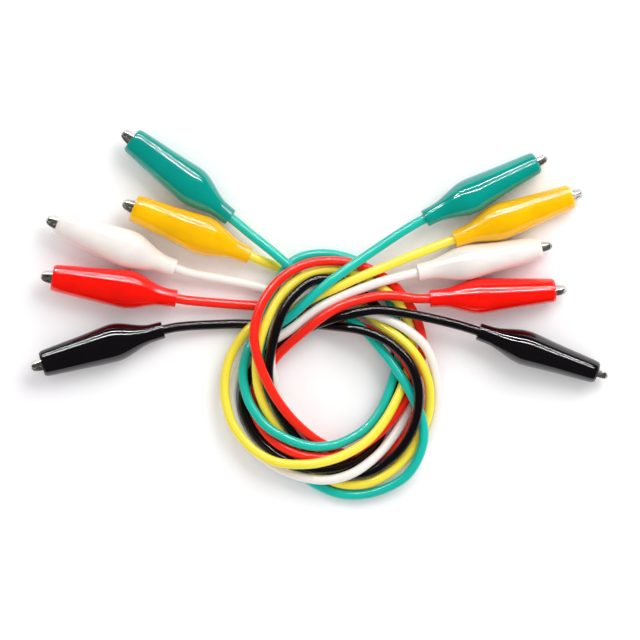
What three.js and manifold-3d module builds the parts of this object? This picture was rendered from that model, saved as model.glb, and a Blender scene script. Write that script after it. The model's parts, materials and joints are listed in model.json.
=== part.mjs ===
// Hank of five test leads. Each lead is an insulated copper cable with an alligator clip
// in a vinyl boot at both ends. Lengths are in millimetres and +Z is up. The finished hank
// stands on z = 0 with the centre of its footprint at the origin; while it is laid out,
// the origin is the centre of the coiled ring.
import * as THREE from "three";
import { mergeVertices } from "three/addons/utils/BufferGeometryUtils.js";
import Module from "manifold-3d";

const wasm = await Module();
wasm.setup();

// ---- driving dimensions -------------------------------------------------------------
const CABLE_RADIUS = 1.35;
const JACKET_SIDES = 6;
const FACET_RADIUS = 1.27; // corner radius of the faceted jacket, a little inside the round one
const BORE_RADIUS = 0.9;
const COPPER_RADIUS = 0.4;
const STRAND_PITCH = 3.16; // least distance between the centre-lines of two strands
const STEP_LENGTH = 4.5; // length of one straight facet along a cable
const SAMPLE = 1; // spacing of the points at which the cables lie on each other
const SIDE_PUSH = 0.4; // how much cables that meet give way sideways, against upwards
const ROUNDS = 1300; // rounds of settling

const NOSE_X = 15.3; // front of the metal jaws, measured from the pivot
const TAIL_X = -11.6; // end of the jaw tails
const MOUTH_X = 12; // open front rim of the boot
const NECK_X = -24; // back end of the boot, where the cable leaves it
const JACKET_END_X = -15.6; // where the stripped insulation stops inside the boot
const TOOTH_START = 14.4; // front of the row of teeth
const TOOTH_COUNT = 5;
const TOOTH_PITCH = 1.68;
const TOOTH_DEPTH = 0.6;
const RIVET_RADIUS = 0.75;
const COIL_RADIUS = 1.35;
const WIRE_RADIUS = 0.25;
const BOOT_WALL = 0.7;
const NECK_BORE = 1.9;
const BOOT_SIDES = 10;
const TILT = { right: 4, left: -3 }; // degrees by which the jaws point down

// ---- the five leads -----------------------------------------------------------------
// clip: x and y of the boot's neck, heading of the jaws in degrees, and roll of the
// opening direction about the clip's own axis, 0 being upright.
// via: places in plan that the cable passes, about one for every eighth of a turn, on its
// way from the right clip round the ring to the left one.
// lift: what the strand's rank gains over the other four at the turns in LIFT_TURNS.
const LEADS = {
  green: {
    colour: 0x1fbfa4,
    boot: 0x0a9a8a,
    right: { x: 26.7, y: 43.9, heading: 26.8, roll: 20 },
    left: { x: -28.7, y: 44.3, heading: 141.7, roll: 65 },
    via: [[8, 32], [-10, 19], [-22, 9], [-24.5, -3], [-18.5, -14.5], [-3, -21.5], [11, -15.5],
      [18, -3], [19.5, 12], [12.5, 28], [2, 33], [-8.5, 31.5], [-17, 19.5], [-19.5, 3.5],
      [-17, -12.5], [-6.5, -28.5], [7, -34], [22, -28.5], [27, -15], [20.5, 0], [9, 13.5],
      [-5, 25]],
    lift: [0.5, 1, 0.6, 0, 0.1, 0.5, 0.5],
  },
  yellow: {
    colour: 0xf2dc30,
    boot: 0xffc400,
    right: { x: 35.1, y: 38.0, heading: 20.2, roll: -40 },
    left: { x: -23.2, y: 33.4, heading: 157.5, roll: 65 },
    via: [[18.5, 31.5], [2, 24.5], [-11, 16.5], [-23, 10.5], [-29.5, -1], [-28, -14.5],
      [-18, -24.5], [-3, -25.5], [11, -19.5], [19.5, -8], [22, 6], [15.5, 21.5], [4, 28],
      [-8, 27.5], [-16.5, 19.5], [-21.5, 7], [-20.5, -6], [-14, -18], [-2, -29.5], [10, -31],
      [22, -23], [28, -10], [26, 2.5], [16.5, 13.5], [-10, 28.5]],
    lift: [0.5, 0.8, 1.1, 0.6, 0.5, 0.4, 0.5],
  },
  white: {
    colour: 0xf2ece4,
    boot: 0xf4eee6,
    right: { x: 24.7, y: 28.6, heading: 11.5, roll: 15 },
    left: { x: -44.5, y: 29.8, heading: 159, roll: 60 },
    via: [[13, 26], [-1, 21], [-13, 11.5], [-24, 4.5], [-27.5, -7], [-22.5, -20], [-9, -28.5],
      [4, -29], [15.5, -21.5], [23, -8.5], [22, 7], [12, 22], [0, 25], [-12, 18], [-17.5, 7],
      [-16.5, -4.5], [-11.5, -15.5], [2, -27], [18, -29], [27, -19.5], [30, -7], [26.5, 7],
      [14, 15.5], [-8, 21], [-25, 25.5]],
    lift: [0.7, 0.1, 0.5, -0.2, 0.2, 0.3, 0.5],
  },
  red: {
    colour: 0xf02412,
    boot: 0xff2412,
    right: { x: 28.1, y: 21.1, heading: 3.9, roll: 30 },
    left: { x: -44.1, y: 21.1, heading: 170.3, roll: 65 },
    via: [[15, 22], [3, 19], [-9, 11.5], [-18, 3.5], [-23.5, -7.5], [-19, -17.5], [-7, -24.5],
      [6, -24.5], [17, -14.5], [23, -3.5], [25.5, 9], [19.5, 21], [7, 29.5], [-6, 30.5],
      [-16.5, 24], [-21.5, 12.5], [-19, -0.5], [-12, -13.5], [-1, -22.5], [11, -25.5],
      [20.5, -18.5], [24, -5.5], [18, 9.5], [5, 15.5], [-9, 18]],
    lift: [0.9, -0.2, 0.4, 1.1, 0.9, 0, 0.5],
  },
  black: {
    colour: 0x18161a,
    boot: 0x121012,
    right: { x: 42, y: 11.8, heading: -19.2, roll: 5 },
    left: { x: -47.9, y: 12.2, heading: 195.8, roll: 60 },
    via: [[23, 16.5], [8, 18], [-5, 15], [-16, 8.5], [-23.5, -1], [-25, -11.5], [-17, -23],
      [-3, -28], [9, -24], [16.5, -13], [19.5, -2], [18.5, 11], [8, 23.5], [-4.5, 26.5],
      [-13, 19.5], [-17, 9.5], [-18.5, -3], [-13.5, -15.5], [-3, -25.5], [9, -28.5],
      [20.5, -20.5], [25, -8.5], [22.5, 3.5], [11.5, 12], [-2, 14.5], [-20, 14.5]],
    lift: [-0.9, 0, 0, 0.9, -0.3, 1.1, 0.5],
  },
};

// Which strand lies on top where two of them meet: a rank that changes with the turn.
// The diagonals from the right clips lie high, then dive under the later turn at the
// left side; the lower turn of each lead passes beneath the earlier one at the bottom.
const RANKS = [
  [0, 5], [100, 5], [150, 2], [200, 1.5], [240, 3], [290, 3], [330, 0], [400, 0],
  [440, 2.5], [470, 4], [500, 6], [550, 6], [590, 0], [640, 0], [670, 1], [730, 1],
  [800, 1], [900, 0.8],
];

const LIFT_TURNS = [90, 200, 290, 495, 545, 690, 850];

// ---- small helpers ------------------------------------------------------------------
const rad = THREE.MathUtils.degToRad;
const metal = (colour) => new THREE.MeshStandardMaterial({
  color: colour, metalness: 0.9, roughness: 0.3,
});
const plastic = (colour) => new THREE.MeshStandardMaterial({ color: colour, roughness: 0.35 });

function toSolid(geometry) {
  const bare = geometry.index ? geometry.toNonIndexed() : geometry.clone();
  bare.deleteAttribute("normal");
  bare.deleteAttribute("uv");
  const welded = mergeVertices(bare, 1e-4);
  return new wasm.Manifold(new wasm.Mesh({
    numProp: 3,
    vertProperties: new Float32Array(welded.attributes.position.array),
    triVerts: new Uint32Array(welded.index.array),
  }));
}

function toGeometry(solid) {
  const mesh = solid.getMesh();
  const geometry = new THREE.BufferGeometry();
  geometry.setAttribute("position", new THREE.BufferAttribute(mesh.vertProperties, 3));
  geometry.setIndex(new THREE.BufferAttribute(mesh.triVerts, 1));
  geometry.computeVertexNormals();
  return geometry;
}

function polygon(radius, sides, turn = 0) {
  const points = [];
  for (let i = 0; i < sides; i += 1) {
    const a = turn + (2 * Math.PI * i) / sides;
    points.push(new THREE.Vector2(radius * Math.cos(a), radius * Math.sin(a)));
  }
  return points;
}

// A bar along y whose section is an outline in x and z.
function sideBar(outline, y0, y1) {
  const shape = new THREE.Shape(outline.map(([x, z]) => new THREE.Vector2(x, z)));
  const bar = new THREE.ExtrudeGeometry(shape, { depth: y1 - y0, bevelEnabled: false });
  bar.rotateX(Math.PI / 2);
  bar.translate(0, y1, 0);
  return toSolid(bar);
}

// A plate along z whose plan is the mirrored pair of an edge given as x and half width.
function planPlate(edge, z0, z1) {
  const there = edge.map(([x, w]) => new THREE.Vector2(x, -w));
  const back = edge.map(([x, w]) => new THREE.Vector2(x, w)).reverse();
  const shape = new THREE.Shape([...there, ...back]);
  const plate = new THREE.ExtrudeGeometry(shape, { depth: z1 - z0, bevelEnabled: false });
  plate.translate(0, 0, z0);
  return toSolid(plate);
}

// A path that goes straight from corner to corner, one facet of a swept tube per corner.
class CornerPath extends THREE.Curve {
  constructor(corners) {
    super();
    this.corners = corners;
  }

  getPoint(t, target = new THREE.Vector3()) {
    const last = this.corners.length - 1;
    const place = THREE.MathUtils.clamp(t, 0, 1) * last;
    const i = Math.min(Math.floor(place), last - 1);
    return target.lerpVectors(this.corners[i], this.corners[i + 1], place - i);
  }

  getPointAt(u, target) {
    return this.getPoint(u, target);
  }

  getTangent(t, target = new THREE.Vector3()) {
    const last = this.corners.length - 1;
    const i = Math.round(t * last);
    const before = this.corners[Math.max(i - 1, 0)];
    const after = this.corners[Math.min(i + 1, last)];
    return target.subVectors(after, before).normalize();
  }

  getTangentAt(u, target) {
    return this.getTangent(u, target);
  }
}

function sweep(outline, hole, corners) {
  const shape = new THREE.Shape(outline);
  if (hole) shape.holes.push(new THREE.Path(hole));
  return new THREE.ExtrudeGeometry(shape, {
    steps: corners.length - 1,
    extrudePath: new CornerPath(corners),
    bevelEnabled: false,
  });
}

// ---- the clip, in its own frame: x towards the nose, y along the rivet, z opening ----
// The teeth of both jaws follow one zigzag, so that they mesh when the clip is shut.
function teeth(offset) {
  const points = [];
  for (let i = 0; i <= 2 * TOOTH_COUNT; i += 1) {
    const x = TOOTH_START - (i * TOOTH_PITCH) / 2;
    points.push([x, offset + (i % 2 === 0 ? -TOOTH_DEPTH : TOOTH_DEPTH) / 2]);
  }
  return points;
}

const NOSE_PLAN = [[14.2, 1.15], [15, 0.9], [NOSE_X, 0.6]];

function shrink(edge, wall) {
  return edge.map(([x, w]) => [x, Math.max(w - wall, 0.12)]);
}

function lowerJaw() {
  const top = [[5, -0.15], [3.2, -0.15], [2.1, 1.2], [0.8, 1.75], [-0.8, 1.75], [-2.1, 1.2]];
  const outline = [
    [NOSE_X, -0.15], ...teeth(-0.12), ...top, [-4.2, -1.6], [TAIL_X, -2.5],
    [TAIL_X, -3.85], [-7, -3.2], [-3.5, -2.35], [3.5, -2.35], [14.5, -1.65], [NOSE_X, -1.3],
  ];
  const plan = [[TAIL_X, 1.5], [-5.4, 1.75], [-3.4, 2.35], [2.6, 2.35], [4.6, 1.7],
    ...NOSE_PLAN];
  const room = [
    [14.6, 3], [-13, 3], [-13, -3.4], [TAIL_X, -3.4], [-7, -2.75], [-3.5, -1.9],
    [3.5, -1.9], [14.6, -1.1],
  ];
  const hollowPlan = [[-13, 1.05], [-5.4, 1.3], [-3.4, 1.9], [2.6, 1.9], [4.6, 1.25],
    [14, 0.7], [14.6, 0.4]];
  const body = sideBar(outline, -3, 3).intersect(planPlate(plan, -6, 6));
  const hollow = sideBar(room, -3, 3).intersect(planPlate(hollowPlan, -6, 6));
  const hole = sideBar(polygon(RIVET_RADIUS + 0.1, 6).map((p) => [p.x, p.y]), -4, 4);
  return toGeometry(body.subtract(hollow).subtract(hole));
}

function upperJaw() {
  const below = [[5, 0.15], [2.6, 0.1], [1.7, -0.9], [0.6, -1.5], [-0.6, -1.5], [-1.7, -0.9]];
  const outline = [
    [NOSE_X, 0.15], ...teeth(0.14), ...below, [-4.4, 1.1], [TAIL_X, 2.55],
    [TAIL_X, 3.75], [-6.5, 3.3], [-3.5, 2.55], [3.5, 2.55], [14.5, 1.65], [NOSE_X, 1.3],
  ];
  const plan = [[TAIL_X, 1.2], [-11, 1.5], [-5.6, 1.6], [-3.6, 1.55], [3, 1.55], [4.6, 1.65],
    ...NOSE_PLAN];
  const room = [
    [14.6, -3], [-13, -3], [-13, 3.3], [TAIL_X, 3.3], [-6.5, 2.85], [-3.5, 2.1],
    [3.5, 2.1], [14.6, 1.1],
  ];
  const hollowPlan = [[-13, 1.05], [-5.6, 1.15], [-3.6, 1.1], [3, 1.1], [4.6, 1.2], [14, 0.7],
    [14.6, 0.4]];
  const body = sideBar(outline, -3, 3).intersect(planPlate(plan, -6, 6));
  const hollow = sideBar(room, -3, 3).intersect(planPlate(hollowPlan, -6, 6));
  const hole = sideBar(polygon(RIVET_RADIUS + 0.36, 6).map((p) => [p.x, p.y]), -4, 4);
  return toGeometry(body.subtract(hollow).subtract(hole));
}

function rivet() {
  const profile = [[0, -2.8], [1.15, -2.75], [1.2, -2.4], [RIVET_RADIUS, -2.4],
    [RIVET_RADIUS, 2.4], [1.2, 2.4], [1.15, 2.75], [0, 2.8]];
  return new THREE.LatheGeometry(profile.map(([r, y]) => new THREE.Vector2(r, y)), 6);
}

// The spring is a coil round the rivet with one leg under each tail.
function spring() {
  const corners = [new THREE.Vector3(-7.6, 0.72, 2.35)];
  const turns = 2.5;
  const perTurn = 8;
  for (let i = 0; i <= turns * perTurn; i += 1) {
    const a = Math.PI / 2 - (2 * Math.PI * i) / perTurn;
    const y = 0.72 - (1.44 * i) / (turns * perTurn);
    corners.push(new THREE.Vector3(COIL_RADIUS * Math.cos(a), y, COIL_RADIUS * Math.sin(a)));
  }
  corners.push(new THREE.Vector3(-7.2, -0.72, -2.2));
  return sweep(polygon(WIRE_RADIUS, 4), null, corners);
}

// The boot is a sleeve with a bulge over the tails and a neck round the cable. Each row is
// x, half height in the opening direction, half width along the rivet and how far its
// middle lies towards the upper jaw.
const BOOT_ROWS = [
  [MOUTH_X, 3.55, 2.9, 0], [10.8, 3.95, 3.2, 0], [0, 4.9, 4.1, 0.1], [-5, 5.3, 4.6, 0.2],
  [-9.5, 5.65, 4.95, 0.3], [-11.5, 5.45, 4.85, 0.3], [-15.5, 4.1, 3.8, 0.2],
  [-18.3, 3, 2.95, 0.1], [-20.5, 2.6, 2.6, 0], [NECK_X, 2.45, 2.45, 0],
];

function bootSizeAt(x) {
  let i = 0;
  while (i < BOOT_ROWS.length - 2 && x < BOOT_ROWS[i + 1][0]) i += 1;
  const [before, after] = [BOOT_ROWS[i], BOOT_ROWS[i + 1]];
  const t = (x - before[0]) / (after[0] - before[0]);
  return [1, 2, 3].map((k) => before[k] + (after[k] - before[k]) * t);
}

function boot() {
  const outer = BOOT_ROWS.map(([x, h]) => new THREE.Vector2(h, x));
  const innerRows = [NECK_X, -18.3, -15.2, -11.2, -9.3, 0, MOUTH_X];
  const inner = innerRows.map((x) => {
    const wall = x <= -18.3 ? bootSizeAt(x)[0] - NECK_BORE : BOOT_WALL;
    return new THREE.Vector2(bootSizeAt(x)[0] - wall, x);
  });
  const profile = [...outer, ...inner, outer[0]].reverse();
  const sleeve = new THREE.LatheGeometry(profile, BOOT_SIDES);
  sleeve.rotateZ(-Math.PI / 2);
  const place = sleeve.attributes.position;
  for (let i = 0; i < place.count; i += 1) {
    const x = place.getX(i);
    const [half, width, rise] = bootSizeAt(x);
    place.setXYZ(i, x, place.getZ(i) * (width / half), rise - place.getY(i));
  }
  return sleeve;
}

// ---- clip placement -----------------------------------------------------------------
// Height of the clip's axis so that the lowest point of the tilted boot is on the table.
function clipFrame({ x, y, heading, roll }, tilt) {
  const turn = new THREE.Matrix4().makeRotationZ(rad(heading));
  turn.multiply(new THREE.Matrix4().makeRotationY(rad(tilt)));
  turn.multiply(new THREE.Matrix4().makeRotationX(rad(roll)));
  const probe = boot();
  probe.applyMatrix4(turn);
  probe.computeBoundingBox();
  const neck = new THREE.Vector3(NECK_X, 0, 0).applyMatrix4(turn);
  const offset = new THREE.Matrix4().makeTranslation(
    x - neck.x, y - neck.y, 0.02 - probe.boundingBox.min.z,
  );
  return offset.multiply(turn);
}

// ---- the cables ---------------------------------------------------------------------
function along(knots, turn) {
  let i = 0;
  while (i < knots.length - 2 && turn > knots[i + 1][0]) i += 1;
  const [a, va] = knots[i];
  const [b, vb] = knots[i + 1];
  return va + ((vb - va) * THREE.MathUtils.clamp(turn - a, 0, b - a)) / (b - a);
}

// Plan of a cable: out of the right neck, round the ring and into the left neck.
function planOf(lead, rightFrame, leftFrame) {
  const neckPoint = (frame, x) => new THREE.Vector3(x, 0, 0).applyMatrix4(frame).setZ(0);
  const points = [
    neckPoint(rightFrame, NECK_X), neckPoint(rightFrame, NECK_X - 3),
    ...lead.via.map(([x, y]) => new THREE.Vector3(x, y, 0)),
    neckPoint(leftFrame, NECK_X - 3), neckPoint(leftFrame, NECK_X),
  ];
  const plan = new THREE.CatmullRomCurve3(points, false, "centripetal");
  plan.arcLengthDivisions = 800;
  return plan;
}

// Samples about one millimetre apart, each with its place along the cable and its rank.
function samplesOf(lead, index, curve) {
  const length = curve.getLength();
  const count = Math.round(length / SAMPLE);
  const samples = [];
  const lifts = LIFT_TURNS.map((turn, i) => [turn, lead.lift[i]]);
  let turn = null;
  for (let i = 0; i <= count; i += 1) {
    const point = curve.getPointAt(i / count);
    const angle = THREE.MathUtils.radToDeg(Math.atan2(point.y, point.x));
    turn = turn === null ? angle : turn + ((((angle - turn) % 360) + 540) % 360) - 180;
    samples.push({
      lead: index, i, s: (i * length) / count, x: point.x, y: point.y,
      z: 0, rank: along(RANKS, turn) + along(lifts, turn),
    });
  }
  return samples;
}

// The cables don't stretch: samples that have drifted apart draw together again.
function keepLength(strand) {
  for (let i = 1; i < strand.length; i += 1) {
    const p = strand[i - 1];
    const q = strand[i];
    const gap = Math.hypot(q.x - p.x, q.y - p.y, q.z - p.z);
    if (gap < 1.3 * SAMPLE) continue;
    const draw = (0.5 * (gap - 1.3 * SAMPLE)) / gap;
    for (const axis of ["x", "y", "z"]) {
      const step = (q[axis] - p[axis]) * draw;
      if (!p.fixed) p[axis] += step;
      if (!q.fixed) q[axis] -= step;
    }
  }
}

// Lay the cables on each other. They start spread out in height by their rank and then
// sink under their weight, bend stiffly and push each other away, while each is drawn
// back to its own plan.
function neighboursIn(all) {
  const near = [];
  for (let a = 0; a < all.length; a += 1) {
    const p = all[a];
    for (let b = a + 1; b < all.length; b += 1) {
      const q = all[b];
      const dx = p.x - q.x;
      const dy = p.y - q.y;
      if (dx * dx + dy * dy > (STRAND_PITCH + 1.5) ** 2) continue;
      if (p.lead !== q.lead || Math.abs(p.i - q.i) > 12) near.push([p, q]);
    }
  }
  return near;
}

function pushApart(p, q) {
  const dx = q.x - p.x;
  const dy = q.y - p.y;
  const dz = q.z - p.z;
  const gap = Math.hypot(dx, dy, dz);
  if (gap >= STRAND_PITCH) return;
  const push = (0.45 * (STRAND_PITCH - gap)) / Math.max(gap, 1e-6);
  const aside = SIDE_PUSH * push;
  if (!p.fixed) {
    p.x -= dx * aside;
    p.y -= dy * aside;
    p.z -= dz * push;
  }
  if (!q.fixed) {
    q.x += dx * aside;
    q.y += dy * aside;
    q.z += dz * push;
  }
}

function settle(strands, ends) {
  const all = strands.flat();
  strands.forEach((strand, k) => {
    const last = strand.length - 1;
    for (const p of strand) {
      const end = Math.min(p.i, last - p.i);
      const side = p.i < last / 2 ? "right" : "left";
      const height = ends[k][side] + Math.tan(rad(TILT[side])) * end;
      const free = THREE.MathUtils.smoothstep(end, 3, 16);
      p.homeX = p.x;
      p.homeY = p.y;
      p.fixed = end < 4;
      p.z = height * (1 - free) + (CABLE_RADIUS + 1.1 * STRAND_PITCH * p.rank) * free;
    }
  });
  let near = [];
  for (let round = 0; round < ROUNDS; round += 1) {
    const calm = round > 0.75 * ROUNDS;
    const weight = calm ? 0.004 : 0.06;
    const pull = calm ? 0.002 : 0.04;
    const stiffness = calm ? 0.15 : 0.3;
    if (round % 40 === 0) near = neighboursIn(all);
    for (const strand of strands) {
      const smooth = strand.map((p, i) => {
        const a = strand[Math.max(i - 4, 0)];
        const b = strand[Math.min(i + 4, strand.length - 1)];
        return [
          (a.x - a.homeX + b.x - b.homeX) / 2 + p.homeX,
          (a.y - a.homeY + b.y - b.homeY) / 2 + p.homeY,
          (a.z + b.z) / 2,
        ];
      });
      strand.forEach((p, i) => {
        if (p.fixed) return;
        const [x, y, z] = smooth[i];
        p.x += stiffness * (x - p.x) + pull * (p.homeX - p.x);
        p.y += stiffness * (y - p.y) + pull * (p.homeY - p.y);
        p.z += stiffness * (z - p.z) - weight;
      });
    }
    for (let pass = 0; pass < 3; pass += 1) {
      for (const [p, q] of near) pushApart(p, q);
      for (const p of all) p.z = Math.max(p.z, CABLE_RADIUS + 0.02);
      if (round > ROUNDS / 2) strands.forEach(keepLength);
    }
  }
}

// Corners of the faceted cable: half of each facet's sag is taken up on either side.
function cornersOf(strand, rightFrame, leftFrame) {
  const inClip = (frame, x) => new THREE.Vector3(x, 0, 0).applyMatrix4(frame);
  const last = strand.length - 1;
  const count = Math.round((last - 8) / STEP_LENGTH);
  const at = (i) => {
    const p = strand[Math.round(4 + ((last - 8) * i) / count)];
    return new THREE.Vector3(p.x, p.y, p.z);
  };
  const corners = [];
  for (let i = 0; i <= count; i += 1) {
    const here = at(i);
    if (i > 0 && i < count) {
      const chord = at(i - 1).add(at(i + 1)).multiplyScalar(0.5);
      here.lerp(chord, -0.125);
    }
    corners.push(here);
  }
  const neck = (frame) => [JACKET_END_X, -19.5, NECK_X - 0.5].map((x) => inClip(frame, x));
  return [...neck(rightFrame), ...corners, ...neck(leftFrame).reverse()];
}

// ---- assembly -----------------------------------------------------------------------
const group = new THREE.Group();
group.name = "test_lead_hank";

function add(name, geometry, material, frame) {
  const mesh = new THREE.Mesh(geometry.clone(), material);
  if (frame) mesh.geometry.applyMatrix4(frame);
  mesh.name = name;
  group.add(mesh);
}

const nickel = metal(0xc9c7c0);
const steelWire = metal(0x9c9a96);
const copper = metal(0xc0703c);
const names = Object.keys(LEADS);
const frames = names.map((name) => ({
  right: clipFrame(LEADS[name].right, TILT.right),
  left: clipFrame(LEADS[name].left, TILT.left),
}));
const strands = names.map((name, k) => {
  const curve = planOf(LEADS[name], frames[k].right, frames[k].left);
  return samplesOf(LEADS[name], k, curve);
});
const neckHeight = (frame) => new THREE.Vector3(NECK_X, 0, 0).applyMatrix4(frame).z;
settle(strands, frames.map(({ right, left }) => ({
  right: neckHeight(right), left: neckHeight(left),
})));

const pieces = {
  upper_jaw: [upperJaw(), () => nickel],
  lower_jaw: [lowerJaw(), () => nickel],
  pivot_rivet: [rivet(), () => nickel],
  spring: [spring(), () => steelWire],
  boot: [boot(), (lead) => plastic(lead.boot)],
};

names.forEach((name, k) => {
  const lead = LEADS[name];
  for (const side of ["right", "left"]) {
    for (const [piece, [geometry, material]] of Object.entries(pieces)) {
      add(`${name}_${side}_${piece}`, geometry, material(lead), frames[k][side]);
    }
  }
  const corners = cornersOf(strands[k], frames[k].right, frames[k].left);
  const tail = (frame) => [[-10, -2.45], [-13, -2.3]].map(
    ([x, z]) => new THREE.Vector3(x, 0, z).applyMatrix4(frame),
  );
  const wire = [...tail(frames[k].right), ...corners, ...tail(frames[k].left).reverse()];
  const bore = polygon(BORE_RADIUS, 3).reverse();
  add(`${name}_jacket`, sweep(polygon(FACET_RADIUS, JACKET_SIDES), bore, corners),
    plastic(lead.colour));
  add(`${name}_conductor`, sweep(polygon(COPPER_RADIUS, 3), null, wire), copper);
});

const box = new THREE.Box3().setFromObject(group);
const centre = box.getCenter(new THREE.Vector3());
for (const mesh of group.children) mesh.geometry.translate(-centre.x, -centre.y, -box.min.z);

export default group;
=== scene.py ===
"""Looks of a hank of five alligator clip test leads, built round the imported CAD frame.

Every CAD node is replaced by a finer piece in the same place. The pieces of a clip are
built once in the clip's own axes, in millimetres: x runs to the nose, y along the rivet
and z in the direction in which the jaws open. Each copy is then set on its own clip.
"""

import json
import math

import bmesh
import bpy
from mathutils import Matrix, Vector


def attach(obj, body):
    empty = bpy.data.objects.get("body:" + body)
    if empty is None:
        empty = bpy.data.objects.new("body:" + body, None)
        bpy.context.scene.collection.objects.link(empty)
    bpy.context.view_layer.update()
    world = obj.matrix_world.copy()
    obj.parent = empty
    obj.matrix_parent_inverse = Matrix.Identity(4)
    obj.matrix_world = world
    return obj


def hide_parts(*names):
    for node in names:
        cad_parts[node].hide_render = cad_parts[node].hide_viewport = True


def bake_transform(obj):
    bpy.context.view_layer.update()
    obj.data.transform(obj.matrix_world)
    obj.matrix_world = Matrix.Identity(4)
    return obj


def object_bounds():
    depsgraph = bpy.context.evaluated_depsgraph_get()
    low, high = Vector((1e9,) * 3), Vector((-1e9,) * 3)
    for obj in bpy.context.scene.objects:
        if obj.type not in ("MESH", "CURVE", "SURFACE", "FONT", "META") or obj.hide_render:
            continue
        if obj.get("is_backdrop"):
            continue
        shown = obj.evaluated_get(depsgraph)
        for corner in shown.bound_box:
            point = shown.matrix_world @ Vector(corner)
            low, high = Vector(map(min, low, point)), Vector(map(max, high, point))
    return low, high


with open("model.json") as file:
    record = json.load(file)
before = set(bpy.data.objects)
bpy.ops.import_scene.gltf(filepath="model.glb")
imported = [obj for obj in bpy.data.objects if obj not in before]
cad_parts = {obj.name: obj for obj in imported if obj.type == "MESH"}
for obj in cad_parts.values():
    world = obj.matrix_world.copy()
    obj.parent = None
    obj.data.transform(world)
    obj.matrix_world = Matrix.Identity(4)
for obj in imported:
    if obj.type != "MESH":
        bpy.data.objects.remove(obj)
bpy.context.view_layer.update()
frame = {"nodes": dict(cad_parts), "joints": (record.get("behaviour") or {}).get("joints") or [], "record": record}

MM = 0.001
LEADS = ("green", "yellow", "white", "red", "black")
SIDES = ("right", "left")

# ---- sizes, in millimetres ----------------------------------------------------------
CABLE_RADIUS = 1.36
BORE_RADIUS = 0.85
CABLE_SIDES = 20
RING_STEP = 1.2  # distance between the rings of a swept cable
STRAND_COUNT = 7  # copper strands of a conductor
COPPER_RADIUS = 0.42
LAY_LENGTH = 11.0  # length in which the copper strands go once round

RIVET_RADIUS = 0.75
HEAD_RADIUS = 1.2
HEAD_FLAT = 0.15  # radius of the flat in the middle of a rivet head's dome
HEAD_Y = 2.45  # where the dome of a rivet head starts, from the middle of the clip
DOME_HEIGHT = 0.35
ROUND_SIDES = 24  # sides of the rivet and of its hole

SPRING_RADIUS = 1.35
SPRING_TURNS = 2.5
SPRING_HALF_WIDTH = 0.72
WIRE_RADIUS = 0.25
LEG_STEPS = 10
UPPER_LEG_END = (-7.6, 2.35)  # x and z
LOWER_LEG_END = (-7.2, -2.2)

SHEET = 0.42  # thickness of the jaws' sheet metal
BEND = 0.4  # radius of the sheet's bends
NOSE_X = 15.3
TOOTH_START, TOOTH_COUNT, TOOTH_PITCH, TOOTH_DEPTH = 14.4, 5, 1.68, 0.6
EXTRA_STATIONS = {-9.0, -7.5, -1.2, 0.0, 1.2, 4.0}  # where a jaw's walls get more corners
HOLE_REACH = 6.0  # half length of the cutter for the rivet's hole

JACKET_END_X = -15.6
JACKET_CORNERS = 9  # corners of one ring of the CAD jacket, outside and in its bore
STRIP_TAIL = ((-10.0, -2.35), (-13.0, -2.0))  # x and z of the bare conductor in a clip

BOOT_WALL = 0.7
BOOT_SIDES = 56
MOUTH_LIP = 0.33  # rounding of the boot's two ends
NECK_LIP = 0.25
NECK_BORE = 1.5
THICK_FROM, THICK_OVER = -15.5, 3.5  # where the wall starts to thicken, and over what length
# The boot's outline from the mouth to the neck: x, half height, half width and how far
# its middle lies towards the upper jaw.
BOOT_OUTLINE = (
    (12.0, 3.62, 2.98, 0.0), (10.8, 3.98, 3.24, 0.01), (6.0, 4.42, 3.64, 0.05),
    (0.0, 4.9, 4.1, 0.1), (-5.0, 5.34, 4.6, 0.2), (-9.0, 5.66, 4.96, 0.3),
    (-11.5, 5.4, 4.8, 0.3), (-13.6, 4.76, 4.32, 0.25), (-16.0, 3.82, 3.6, 0.18),
    (-18.3, 3.0, 2.95, 0.1), (-20.3, 2.62, 2.62, 0.0), (-24.0, 2.48, 2.48, 0.0),
)


# ---- shapes -------------------------------------------------------------------------
def spline(points, per_span):
    """Points of a Catmull-Rom curve through tuples or vectors of any length."""
    points = [tuple(p) for p in points]
    padded = [points[0], *points, points[-1]]
    out = []
    for k in range(len(points) - 1):
        a, b, c, d = padded[k:k + 4]
        for step in range(per_span):
            t = step / per_span
            out.append(tuple(
                0.5 * (2 * q + (r - p) * t + (2 * p - 5 * q + 4 * r - s) * t * t
                       + (3 * q - p - 3 * r + s) * t ** 3)
                for p, q, r, s in zip(a, b, c, d)
            ))
    out.append(points[-1])
    return out


def between(rows, x):
    """Value at x of a polyline given as rows of x and value, in rising order of x."""
    for (xa, va), (xb, vb) in zip(rows, rows[1:]):
        if x <= xb:
            t = (x - xa) / (xb - xa)
            return va + (vb - va) * max(0.0, min(1.0, t))
    return rows[-1][1]


def loft(rings, loop=False, caps=False):
    """Mesh through closed rings of equal length. With loop, the last joins the first."""
    bm = bmesh.new()
    made = [[bm.verts.new(p) for p in ring] for ring in rings]
    count = len(rings[0])
    spans = len(rings) if loop else len(rings) - 1
    for k in range(spans):
        here, after = made[k], made[(k + 1) % len(rings)]
        for i in range(count):
            j = (i + 1) % count
            bm.faces.new((here[i], here[j], after[j], after[i]))
    if caps:
        bm.faces.new(reversed(made[0]))
        bm.faces.new(made[-1])
    bmesh.ops.recalc_face_normals(bm, faces=bm.faces)
    return to_mesh(bm)


def to_mesh(bm, smooth=True):
    mesh = bpy.data.meshes.new("shape")
    bm.to_mesh(mesh)
    bm.free()
    for polygon in mesh.polygons:
        polygon.use_smooth = smooth
    return mesh


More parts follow.
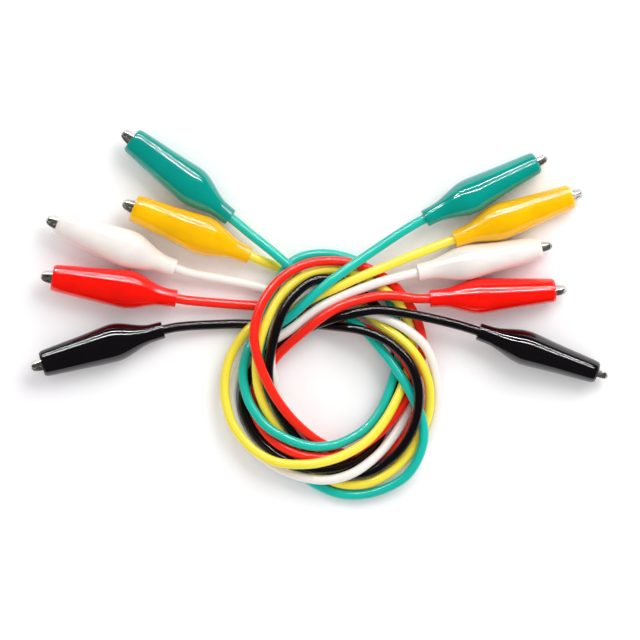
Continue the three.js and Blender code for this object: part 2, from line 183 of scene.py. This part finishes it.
def path_frames(points):
    """A pair of cross directions at each point of a path, carried along without twist."""
    frames = []
    across = None
    for k, point in enumerate(points):
        along = (points[min(k + 1, len(points) - 1)] - points[max(k - 1, 0)]).normalized()
        if across is None:
            across = along.orthogonal()
        across = (across - along * across.dot(along)).normalized()
        frames.append((across, along.cross(across)))
    return frames


def ring_at(point, cross, radii, turn=0.0):
    """Ring round a path point with one radius per corner."""
    u, v = cross
    ring = []
    for i, radius in enumerate(radii):
        a = turn + 2 * math.pi * i / len(radii)
        ring.append(point + (u * math.cos(a) + v * math.sin(a)) * radius)
    return ring


def sleeve(points, outer, inner, sides):
    """Hollow round tube with square ends."""
    frames = path_frames(points)
    rings = [ring_at(p, f, [outer] * sides) for p, f in zip(points, frames)]
    rings += [ring_at(p, f, [inner] * sides) for p, f in zip(points[::-1], frames[::-1])]
    return loft(rings, loop=True)


def round_wire(points, radius, sides):
    frames = path_frames(points)
    rings = [ring_at(p, f, [radius] * sides) for p, f in zip(points, frames)]
    return loft(rings, caps=True)


def stranded_wire(points, radius):
    """Bundle of twisted strands, as one body whose outline has a lobe for each strand."""
    lobes = []
    corners = 3 * STRAND_COUNT
    for i in range(corners):
        swell = 0.5 + 0.5 * math.cos(2 * math.pi * STRAND_COUNT * i / corners)
        lobes.append(radius * (0.76 + 0.24 * swell))
    turn = 0.0
    rings = []
    frames = path_frames(points)
    for k, (point, cross) in enumerate(zip(points, frames)):
        if k:
            turn += 2 * math.pi * (point - points[k - 1]).length / (LAY_LENGTH * MM)
        rings.append(ring_at(point, cross, lobes, turn))
    return loft(rings, caps=True)


def lathe(profile, sides):
    """Body turned about the y axis from rows of radius and y; the ends are closed."""
    rings = []
    for radius, y in profile:
        ring = []
        for i in range(sides):
            a = 2 * math.pi * i / sides
            ring.append(Vector((radius * math.cos(a), y, radius * math.sin(a))))
        rings.append(ring)
    return loft(rings, caps=True)


def with_modifiers(mesh, *settings):
    """The mesh after modifiers, each given as its type and a dict of its properties."""
    obj = bpy.data.objects.new("work", mesh)
    bpy.context.scene.collection.objects.link(obj)
    for kind, values in settings:
        modifier = obj.modifiers.new(kind, kind)
        for key, value in values.items():
            setattr(modifier, key, value)
    bpy.context.view_layer.update()
    evaluated = obj.evaluated_get(bpy.context.evaluated_depsgraph_get())
    done = bpy.data.meshes.new_from_object(evaluated)
    bpy.data.objects.remove(obj)
    return done


# ---- the boot -----------------------------------------------------------------------
def boot_ring(x, height, width, rise):
    ring = []
    for i in range(BOOT_SIDES):
        a = 2 * math.pi * i / BOOT_SIDES
        ring.append(Vector((x, width * math.cos(a), rise + height * math.sin(a))))
    return ring


def rounded_end(row, wall, radius, towards):
    """Rows round an end of the sleeve: from its outer side, over the rim, to its bore."""
    x, height, width, rise = row
    steps = 6
    corner = []
    for step in range(1, steps + 1):
        a = math.pi / 2 * step / steps
        corner.append((x + towards * radius * math.sin(a), radius * (1 - math.cos(a))))
    rows = corner + [(end, wall - depth) for end, depth in corner[::-1]]
    return [(end, height - depth, width - depth, rise) for end, depth in rows]


def boot_mesh():
    """Soft sleeve: bulge over the tails, narrow neck on the cable, rounded mouth."""
    outline = [list(row) for row in BOOT_OUTLINE]
    outline[0][0] -= MOUTH_LIP
    outline[-1][0] += NECK_LIP
    outer = spline(outline, 6)
    bore = []
    for x, height, width, rise in outer[::-2]:
        wall = BOOT_WALL
        if x < THICK_FROM:
            share = min(1.0, (THICK_FROM - x) / THICK_OVER)
            wall += share * share * (3 - 2 * share) * (height - NECK_BORE - BOOT_WALL)
        bore.append((x, height - wall, max(width - wall, NECK_BORE), rise))
    mouth = rounded_end(outer[0], BOOT_WALL, MOUTH_LIP, 1)
    neck = rounded_end(outer[-1], outer[-1][1] - NECK_BORE, NECK_LIP, -1)
    rows = outer + neck + bore + mouth[::-1]
    return loft([boot_ring(*row) for row in rows], loop=True)


# ---- the jaws -----------------------------------------------------------------------
def teeth_rows(offset):
    """Zigzag edge of a jaw, from the hinge towards the nose."""
    rows = []
    for i in range(2 * TOOTH_COUNT, -1, -1):
        side = -1 if i % 2 == 0 else 1
        rows.append((TOOTH_START - i * TOOTH_PITCH / 2, offset + side * TOOTH_DEPTH / 2))
    return rows


def u_path(width_rows, stations):
    """Plan of a jaw as a path from its left tail round the nose to the right tail."""
    last_x = width_rows[-1][0]
    half = width_rows[-1][1]
    left = [(x, between(width_rows, x)) for x in stations if x < last_x]
    arc = []
    steps = 8
    for step in range(steps + 1):
        a = math.pi / 2 * step / steps
        arc.append((last_x + (NOSE_X - last_x) * math.sin(a), half * math.cos(a)))
    left += arc
    return left + [(x, -y) for x, y in left[-2::-1]]


def channel(edge_rows, back_rows, width_rows):
    """Stamped sheet bent to a channel: side walls from the free edge up to a flat back."""
    xs = {x for rows in (edge_rows, back_rows, width_rows) for x, _ in rows}
    path = u_path(width_rows, sorted(xs | EXTRA_STATIONS))
    turns = (math.pi / 6, math.pi / 3, math.pi / 2)
    bm = bmesh.new()
    rows = [[] for _ in range(3 + len(turns))]
    for k, (x, y) in enumerate(path):
        xa, ya = path[max(k - 1, 0)]
        xb, yb = path[min(k + 1, len(path) - 1)]
        along = Vector((xb - xa, yb - ya, 0)).normalized()
        inward = Vector((along.y, -along.x, 0))
        edge = between(edge_rows, x)
        back = between(back_rows, x)
        side = 1 if back > edge else -1
        place = Vector((x, y, 0))
        heights = (edge, edge + 0.5 * (back - side * BEND - edge), back - side * BEND)
        for row, z in zip(rows, heights):
            row.append(bm.verts.new(place + Vector((0, 0, z))))
        for row, a in zip(rows[3:], turns):
            shift = inward * (BEND * (1 - math.cos(a)))
            z = back - side * BEND * (1 - math.sin(a))
            row.append(bm.verts.new(place + shift + Vector((0, 0, z))))
    for low, high in zip(rows, rows[1:]):
        for i in range(len(path) - 1):
            bm.faces.new((low[i], low[i + 1], high[i + 1], high[i]))
    rim = rows[-1]
    last = len(rim) - 1
    for i in range(last // 2 - 1):
        bm.faces.new((rim[i], rim[i + 1], rim[last - i - 1], rim[last - i]))
    middle = last // 2
    bm.faces.new((rim[middle - 1], rim[middle], rim[middle + 1]))
    bmesh.ops.recalc_face_normals(bm, faces=bm.faces)
    top = max(bm.faces, key=lambda face: abs(face.calc_center_median().z))
    if top.normal.z * top.calc_center_median().z < 0:
        bmesh.ops.reverse_faces(bm, faces=bm.faces)
    return to_mesh(bm, smooth=False)


def pierced(mesh, radius):
    """The sheet thickened inwards, with the rivet's hole through both walls."""
    hole_mesh = lathe([(radius, -HOLE_REACH), (radius, HOLE_REACH)], ROUND_SIDES)
    hole = bpy.data.objects.new("hole", hole_mesh)
    bpy.context.scene.collection.objects.link(hole)
    done = with_modifiers(
        mesh,
        ("SOLIDIFY", {"thickness": SHEET, "offset": -1, "use_even_offset": True}),
        ("BOOLEAN", {"object": hole, "operation": "DIFFERENCE", "solver": "EXACT"}),
        ("BEVEL", {"width": 0.06, "segments": 2, "limit_method": "ANGLE",
                   "angle_limit": math.radians(40)}),
    )
    bpy.data.objects.remove(hole)
    for polygon in done.polygons:
        polygon.use_smooth = True
    done.set_sharp_from_angle(angle=math.radians(35))
    return done


def upper_jaw_mesh():
    """Jaw that swings; its rows give x with the free edge, the back and the half width."""
    edge = [(-11.6, 2.55), (-4.4, 1.1), (-1.7, -0.9), (-0.6, -1.5), (0.6, -1.5),
            (1.7, -0.9), (2.6, 0.1), (5.0, 0.15), *teeth_rows(0.14), (NOSE_X, 0.15)]
    back = [(-11.6, 3.75), (-6.5, 3.3), (-3.5, 2.55), (3.5, 2.55), (12.0, 1.8), (13.8, 1.5),
            (14.8, 1.15), (NOSE_X, 0.8)]
    width = [(-11.6, 1.2), (-11.0, 1.5), (-5.6, 1.6), (-3.6, 1.55), (3.0, 1.55),
             (4.6, 1.65), (11.0, 1.25), (14.2, 1.0)]
    running_clearance = 0.2
    return pierced(channel(edge, back, width), RIVET_RADIUS + running_clearance)


def lower_jaw_mesh():
    """Jaw that holds the rivet, wider at the hinge, where it takes the upper one in."""
    edge = [(-11.6, -2.5), (-4.2, -1.6), (-2.1, 1.2), (-0.8, 1.75), (0.8, 1.75), (2.1, 1.2),
            (3.2, -0.15), (5.0, -0.15), *teeth_rows(-0.12), (NOSE_X, -0.15)]
    back = [(-11.6, -3.85), (-7.0, -3.2), (-3.5, -2.35), (3.5, -2.35), (12.0, -1.75),
            (13.8, -1.5), (14.8, -1.15), (NOSE_X, -0.8)]
    width = [(-11.6, 1.5), (-5.4, 1.75), (-3.4, 2.35), (2.6, 2.35), (4.6, 1.7), (11.0, 1.25),
             (14.2, 1.0)]
    fixed_clearance = 0.05
    return pierced(channel(edge, back, width), RIVET_RADIUS + fixed_clearance)


# ---- rivet and spring ---------------------------------------------------------------
def rivet_mesh():
    """Shank with a domed head at each end."""
    half = []
    steps = 5
    for step in range(steps + 1):
        a = math.pi / 2 * step / steps
        radius = HEAD_FLAT + (HEAD_RADIUS - HEAD_FLAT) * math.sin(a)
        half.append((radius, HEAD_Y + DOME_HEIGHT * math.cos(a)))
    half += [(HEAD_RADIUS, HEAD_Y - 0.07), (RIVET_RADIUS, HEAD_Y - 0.09)]
    return lathe(half + [(radius, -y) for radius, y in half[::-1]], ROUND_SIDES)


def spring_mesh():
    """Torsion spring round the rivet, with a leg under each tail."""
    def leg(end, y, coil_z):
        """Points of a straight leg from its free end up to the coil, which is left out."""
        free, coil = Vector((end[0], y, end[1])), Vector((0, y, coil_z))
        return [free.lerp(coil, k / LEG_STEPS) for k in range(LEG_STEPS)]

    per_turn = 24
    steps = round(SPRING_TURNS * per_turn)
    points = leg(UPPER_LEG_END, SPRING_HALF_WIDTH, SPRING_RADIUS)
    for i in range(steps + 1):
        a = math.pi / 2 - 2 * math.pi * i / per_turn
        y = SPRING_HALF_WIDTH * (1 - 2 * i / steps)
        points.append(Vector((SPRING_RADIUS * math.cos(a), y, SPRING_RADIUS * math.sin(a))))
    points += leg(LOWER_LEG_END, -SPRING_HALF_WIDTH, -SPRING_RADIUS)[::-1]
    return round_wire(points, WIRE_RADIUS, 12)


# ---- the frame: where the clips and cables are --------------------------------------
def clip_matrix(clip):
    """From the clip's own axes in millimetres to the row frame in metres."""
    joint = next(j for j in frame["joints"] if j["name"] == clip + "_jaw_hinge")
    nose = next(m for m in frame["record"]["mounts"] if m["name"] == clip + "_nose")
    x = Vector(nose["axis"]).normalized()
    y = -Vector(joint["axis"])
    y = (y - x * y.dot(x)).normalized()
    turn = Matrix((x, y, x.cross(y))).transposed().to_4x4()
    return Matrix.Translation(joint["pos_m"]) @ turn @ Matrix.Scale(MM, 4)


def rings_along(node, start):
    """Centres of a faceted tube's rings, found by walking its mesh from the end at start."""
    mesh = frame["nodes"][node].data
    same_place = 0.002 * MM
    index, places = {}, []
    merged = []
    for vertex in mesh.vertices:
        key = tuple(round(c / same_place) for c in vertex.co)
        if key not in index:
            index[key] = len(places)
            places.append(vertex.co.copy())
        merged.append(index[key])
    links = [set() for _ in places]
    for edge in mesh.edges:
        a, b = (merged[v] for v in edge.vertices)
        if a != b:
            links[a].add(b)
            links[b].add(a)
    order = sorted(range(len(places)), key=lambda i: (places[i] - start).length)
    layer = set(order[:JACKET_CORNERS])
    seen = set(layer)
    centres = []
    while layer:
        centres.append(sum((places[i] for i in layer), Vector()) / len(layer))
        layer = {j for i in layer for j in links[i]} - seen
        seen |= layer
    return centres


def smooth_path(corners, step):
    """Even points along the cubic B-spline that the corners steer, both ends kept."""
    padded = [corners[0]] * 2 + corners + [corners[-1]] * 2
    per_span = 12
    fine = []
    for k in range(len(padded) - 3):
        a, b, c, d = padded[k:k + 4]
        for i in range(per_span):
            t = i / per_span
            fine.append((a * (1 - t) ** 3 + b * (3 * t ** 3 - 6 * t * t + 4)
                         + c * (-3 * t ** 3 + 3 * t * t + 3 * t + 1) + d * t ** 3) / 6)
    fine.append(corners[-1])
    lengths = [0.0]
    for p, q in zip(fine, fine[1:]):
        lengths.append(lengths[-1] + (q - p).length)
    count = round(lengths[-1] / step)
    points, k = [], 0
    for i in range(count + 1):
        s = lengths[-1] * i / count
        while k < len(fine) - 2 and lengths[k + 1] < s:
            k += 1
        t = (s - lengths[k]) / max(lengths[k + 1] - lengths[k], 1e-9)
        points.append(fine[k].lerp(fine[k + 1], t))
    return points


# ---- materials ----------------------------------------------------------------------
def srgb(r, g, b):
    """Colour given as 0 to 255 screen values, as linear values for the nodes."""
    out = []
    for value in (r, g, b):
        v = value / 255
        out.append(v / 12.92 if v <= 0.04045 else ((v + 0.055) / 1.055) ** 2.4)
    return (*out, 1.0)


class Look:
    """A node material that is built up from noise patterns in object space."""

    def __init__(self, name):
        self.material = bpy.data.materials.new(name)
        self.material.use_nodes = True
        self.nodes = self.material.node_tree.nodes
        self.links = self.material.node_tree.links
        self.shader = self.nodes["Principled BSDF"]
        self.place = self.nodes.new("ShaderNodeTexCoord").outputs["Object"]

    def set(self, **values):
        for key, value in values.items():
            self.shader.inputs[key.replace("_", " ")].default_value = value

    def noise(self, size, detail=3.0, stretch=(1, 1, 1)):
        """Noise whose features are about size millimetres wide."""
        mapping = self.nodes.new("ShaderNodeMapping")
        mapping.inputs["Scale"].default_value = [s / (size * MM) for s in stretch]
        self.links.new(self.place, mapping.inputs["Vector"])
        texture = self.nodes.new("ShaderNodeTexNoise")
        texture.inputs["Scale"].default_value = 1.0
        texture.inputs["Detail"].default_value = detail
        self.links.new(mapping.outputs["Vector"], texture.inputs["Vector"])
        return texture.outputs["Fac"]

    def ramp(self, fac, stops):
        node = self.nodes.new("ShaderNodeValToRGB")
        elements = node.color_ramp.elements
        while len(elements) < len(stops):
            elements.new(0.5)
        for element, (place, colour) in zip(elements, stops):
            element.position = place
            element.color = colour
        self.links.new(fac, node.inputs["Fac"])
        return node.outputs["Color"]

    def mottle(self, fac, dark, colour, light, middle=0.55):
        """Base colour that a pattern takes from a darker to a lighter shade."""
        stops = ((0.3, dark), (middle, colour), (0.75, light))
        self.feed("Base Color", self.ramp(fac, stops))

    def spread(self, fac, low, high):
        """Value from low to high, as the pattern runs over the middle of its range."""
        node = self.nodes.new("ShaderNodeMapRange")
        node.inputs["From Min"].default_value = 0.3
        node.inputs["From Max"].default_value = 0.7
        node.inputs["To Min"].default_value = low
        node.inputs["To Max"].default_value = high
        self.links.new(fac, node.inputs["Value"])
        return node.outputs["Result"]

    def feed(self, key, output):
        self.links.new(output, self.shader.inputs[key])

    def bump(self, *layers):
        """Bump from pairs of a pattern and its depth in millimetres."""
        normal = None
        for fac, depth in layers:
            node = self.nodes.new("ShaderNodeBump")
            node.inputs["Strength"].default_value = 1.0
            node.inputs["Distance"].default_value = depth * MM
            self.links.new(fac, node.inputs["Height"])
            if normal is not None:
                self.links.new(normal, node.inputs["Normal"])
            normal = node.outputs["Normal"]
        self.links.new(normal, self.shader.inputs["Normal"])


def shade(colour, factor):
    """The colour made darker or lighter by a factor."""
    return (*(c * factor for c in colour[:3]), 1.0)


def vinyl(name, colour, glow):
    """Glossy dipped vinyl: cloudy depth of colour, orange-peel surface, faint handling marks."""
    look = Look(name)
    clouds = look.noise(9.0, 2.0)
    look.mottle(clouds, shade(colour, 0.9), colour, shade(colour, 1.06))
    marks = look.noise(1.6, 5.0)
    look.feed("Roughness", look.spread(marks, 0.05, 0.09))
    look.set(IOR=1.5, Coat_Weight=0.3, Coat_Roughness=0.03)
    look.set(Subsurface_Weight=glow, Subsurface_Scale=1.2 * MM)
    look.bump((look.noise(4.0, 1.0), 0.022), (look.noise(0.5, 2.0), 0.0012))
    return look.material


def cable_pvc(name, colour, glow):
    """Extruded PVC: softer gloss than the boots, slight unevenness of the jacket."""
    look = Look(name)
    clouds = look.noise(14.0, 2.0)
    look.mottle(clouds, shade(colour, 0.93), colour, shade(colour, 1.05))
    marks = look.noise(1.1, 4.0)
    look.feed("Roughness", look.spread(marks, 0.14, 0.22))
    look.set(IOR=1.5, Subsurface_Weight=glow, Subsurface_Scale=0.8 * MM)
    look.bump((look.noise(5.0, 1.0), 0.04), (look.noise(0.4, 2.0), 0.001))
    return look.material


def nickel(name, colour, dull):
    """Plated sheet steel: streaks from rolling, small pits and duller patches."""
    look = Look(name)
    patches = look.noise(1.8, 4.0)
    look.mottle(patches, shade(colour, 0.72), colour, shade(colour, 1.08), middle=0.5)
    streaks = look.noise(0.5, 4.0, (0.25, 1.6, 1.0))
    look.feed("Roughness", look.spread(streaks, dull * 0.7, dull * 1.5))
    look.set(Metallic=1.0)
    look.bump((streaks, 0.012), (look.noise(0.12, 2.0), 0.002))
    return look.material


def bare_copper(name):
    """Copper wire with darker and brighter patches."""
    look = Look(name)
    patches = look.noise(1.0, 4.0)
    look.mottle(patches, srgb(150, 78, 44), srgb(205, 120, 78), srgb(226, 150, 108))
    look.feed("Roughness", look.spread(look.noise(0.4), 0.22, 0.42))
    look.set(Metallic=1.0)
    look.bump((look.noise(0.2, 3.0), 0.004))
    return look.material


BOOT_LOOKS = {
    "green": vinyl("green_vinyl", srgb(0, 148, 135), 0.06),
    "yellow": vinyl("yellow_vinyl", srgb(255, 190, 0), 0.12),
    "white": vinyl("white_vinyl", srgb(240, 232, 226), 0.15),
    "red": vinyl("red_vinyl", srgb(250, 18, 4), 0.08),
    "black": vinyl("black_vinyl", srgb(12, 9, 12), 0.0),
}
CABLE_LOOKS = {
    "green": cable_pvc("green_pvc", srgb(16, 190, 172), 0.05),
    "yellow": cable_pvc("yellow_pvc", srgb(252, 232, 70), 0.08),
    "white": cable_pvc("white_pvc", srgb(242, 236, 230), 0.1),
    "red": cable_pvc("red_pvc", srgb(252, 36, 16), 0.06),
    "black": cable_pvc("black_pvc", srgb(12, 9, 12), 0.0),
}
JAW_LOOK = nickel("jaw_nickel", srgb(226, 223, 216), 0.26)
RIVET_LOOK = nickel("rivet_nickel", srgb(205, 203, 198), 0.26)
SPRING_LOOK = nickel("spring_steel", srgb(176, 174, 170), 0.3)
COPPER_LOOK = bare_copper("copper")


# ---- pieces -------------------------------------------------------------------------
METAL = bpy.data.collections.new("metal")  # pieces that the metal's own light shines on


def piece(name, mesh, look, node):
    """An object with one look that stands for one CAD node."""
    mesh.materials.clear()
    mesh.materials.append(look)
    obj = bpy.data.objects.new(name, mesh)
    bpy.context.scene.collection.objects.link(obj)
    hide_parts(node)
    return obj


def on_clip(name, shape, matrix, look, slot):
    """A copy of a clip piece, set on its clip. It stands for the CAD node of its name."""
    mesh = shape.copy()
    mesh.transform(matrix)
    obj = piece(name + "_fine", mesh, look, name)
    if not slot.endswith("_vinyl"):
        METAL.objects.link(obj)
    return obj


SHAPES = {
    "boot": boot_mesh(),
    "upper_jaw": upper_jaw_mesh(),
    "lower_jaw": lower_jaw_mesh(),
    "pivot_rivet": rivet_mesh(),
    "spring": spring_mesh(),
}


def build_clip(lead, side):
    """The five pieces of a clip; only its upper jaw is attached to the jaw's body, and the boot and spring are
    baked in place.
    """
    clip = f"{lead}_{side}"
    jaw_body = clip + "_jaw"
    matrix = clip_matrix(clip)
    looks = {
        "boot": (BOOT_LOOKS[lead], lead + "_boot_vinyl"),
        "upper_jaw": (JAW_LOOK, "jaw_metal"),
        "lower_jaw": (JAW_LOOK, "jaw_metal"),
        "pivot_rivet": (RIVET_LOOK, "rivet_metal"),
        "spring": (SPRING_LOOK, "spring_wire"),
    }
    made = {kind: on_clip(f"{clip}_{kind}", SHAPES[kind], matrix, *looks[kind])
            for kind in SHAPES}
    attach(made["upper_jaw"], jaw_body)
    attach(made["lower_jaw"], "hank")
    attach(made["pivot_rivet"], "hank")
    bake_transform(made["spring"])
    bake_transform(made["boot"])


def build_cable(lead):
    """Jacket along the CAD jacket's centre-line, and a conductor that runs into both clips."""
    right = clip_matrix(lead + "_right")
    start = right @ Vector((JACKET_END_X, 0, 0))
    centres = rings_along(lead + "_jacket", start)
    path = smooth_path(centres, RING_STEP * MM)
    jacket = sleeve(path, CABLE_RADIUS * MM, BORE_RADIUS * MM, CABLE_SIDES)
    obj = piece(lead + "_jacket_fine", jacket, CABLE_LOOKS[lead],
                lead + "_jacket")
    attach(obj, "hank")

    left = clip_matrix(lead + "_left")
    tails = [[m @ Vector((x, 0, z)) for x, z in STRIP_TAIL] for m in (right, left)]
    wire = smooth_path(tails[0] + centres + tails[1][::-1], RING_STEP * MM)
    copper = stranded_wire(wire, COPPER_RADIUS * MM)
    obj = piece(lead + "_conductor_fine", copper, COPPER_LOOK, lead + "_conductor")
    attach(obj, "hank")


for lead in LEADS:
    build_cable(lead)
    for side in SIDES:
        build_clip(lead, side)


# ---- stage --------------------------------------------------------------------------
def floor(height):
    """Wide near-white table with very faint clouds."""
    look = Look("floor")
    look.feed("Base Color", look.ramp(look.noise(60.0, 2.0), (
        (0.3, srgb(249, 248, 250)), (0.7, srgb(253, 253, 253)))))
    look.set(Roughness=0.9)
    look.shader.inputs["Specular IOR Level"].default_value = 0.1
    mesh = bpy.data.meshes.new("floor")
    far = 4.0
    mesh.from_pydata([(-far, -far, height), (far, -far, height), (far, far, height),
                      (-far, far, height)], [], [(0, 1, 2, 3)])
    mesh.materials.append(look.material)
    obj = bpy.data.objects.new("floor", mesh)
    bpy.context.scene.collection.objects.link(obj)
    obj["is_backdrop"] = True


def area_light(name, degrees, distance, size, power, mirrored, aside=0.0):
    """Light over the far side of the object, at an angle from straight up, facing it.

    A mirrored light is seen only in glossy surfaces, any other one lights matt ones only.
    It is handed back, so that it can be kept to some of the pieces.
    """
    data = bpy.data.lights.new(name, "AREA")
    data.shape = "RECTANGLE"
    data.size, data.size_y = size
    data.energy = power
    obj = bpy.data.objects.new(name, data)
    bpy.context.scene.collection.objects.link(obj)
    a = math.radians(degrees)
    away = Vector((aside, math.sin(a), math.cos(a))).normalized()
    obj.location = away * distance
    obj.rotation_euler = away.to_track_quat("Z", "Y").to_euler()
    obj.visible_camera = False
    obj.visible_glossy = mirrored
    obj.visible_diffuse = not mirrored
    return obj


def studio_air(strength, mirrored_strength):
    """Even light on matt surfaces, and a dim studio in glossy ones."""
    world = bpy.data.worlds.new("studio")
    bpy.context.scene.world = world
    world.use_nodes = True
    nodes, links = world.node_tree.nodes, world.node_tree.links
    path = nodes.new("ShaderNodeLightPath")
    mix = nodes.new("ShaderNodeMixShader")
    links.new(path.outputs["Is Glossy Ray"], mix.inputs["Fac"])
    for slot, level in ((1, strength), (2, mirrored_strength)):
        sky = nodes.new("ShaderNodeBackground")
        sky.inputs["Color"].default_value = (1.0, 0.995, 1.0, 1)
        sky.inputs["Strength"].default_value = level
        links.new(sky.outputs["Background"], mix.inputs[slot])
    links.new(mix.outputs["Shader"], nodes["World Output"].inputs["Surface"])
    nodes.remove(nodes["Background"])


def camera_above():
    """Long lens straight above the hank, which fills nine tenths of the picture's width."""
    low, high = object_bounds()
    centre = (low + high) / 2
    distance = 1.3
    sensor = 36
    seen_width = (high.x - low.x) * 1.112
    aside, nearer = 0.2 * MM, 1.4 * MM
    data = bpy.data.cameras.new("camera")
    data.sensor_width = sensor
    data.lens = sensor * distance / seen_width
    data.clip_end = 20
    obj = bpy.data.objects.new("camera", data)
    bpy.context.scene.collection.objects.link(obj)
    obj.location = (centre.x + aside, centre.y - nearer, distance)
    bpy.context.scene.camera = obj


FLOOR_GAP = 0.02 * MM
STRIP_SIZE = (0.9, 0.006)

floor(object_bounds()[0].z - FLOOR_GAP)
studio_air(strength=0.83, mirrored_strength=0.05)
for name, degrees in (("strip_high", 38), ("strip_low", 60)):
    area_light(name, degrees, distance=0.5, size=STRIP_SIZE, power=3.2, mirrored=True)
area_light("softbox", 38, distance=0.9, size=(0.6, 0.5), power=4.6, mirrored=False, aside=0.45)
metal_card = area_light("metal_card", 24, distance=0.5, size=(0.9, 0.6), power=1.9, mirrored=True)
metal_card.light_linking.receiver_collection = METAL
camera_above()
bpy.context.scene.view_settings.view_transform = "Standard"
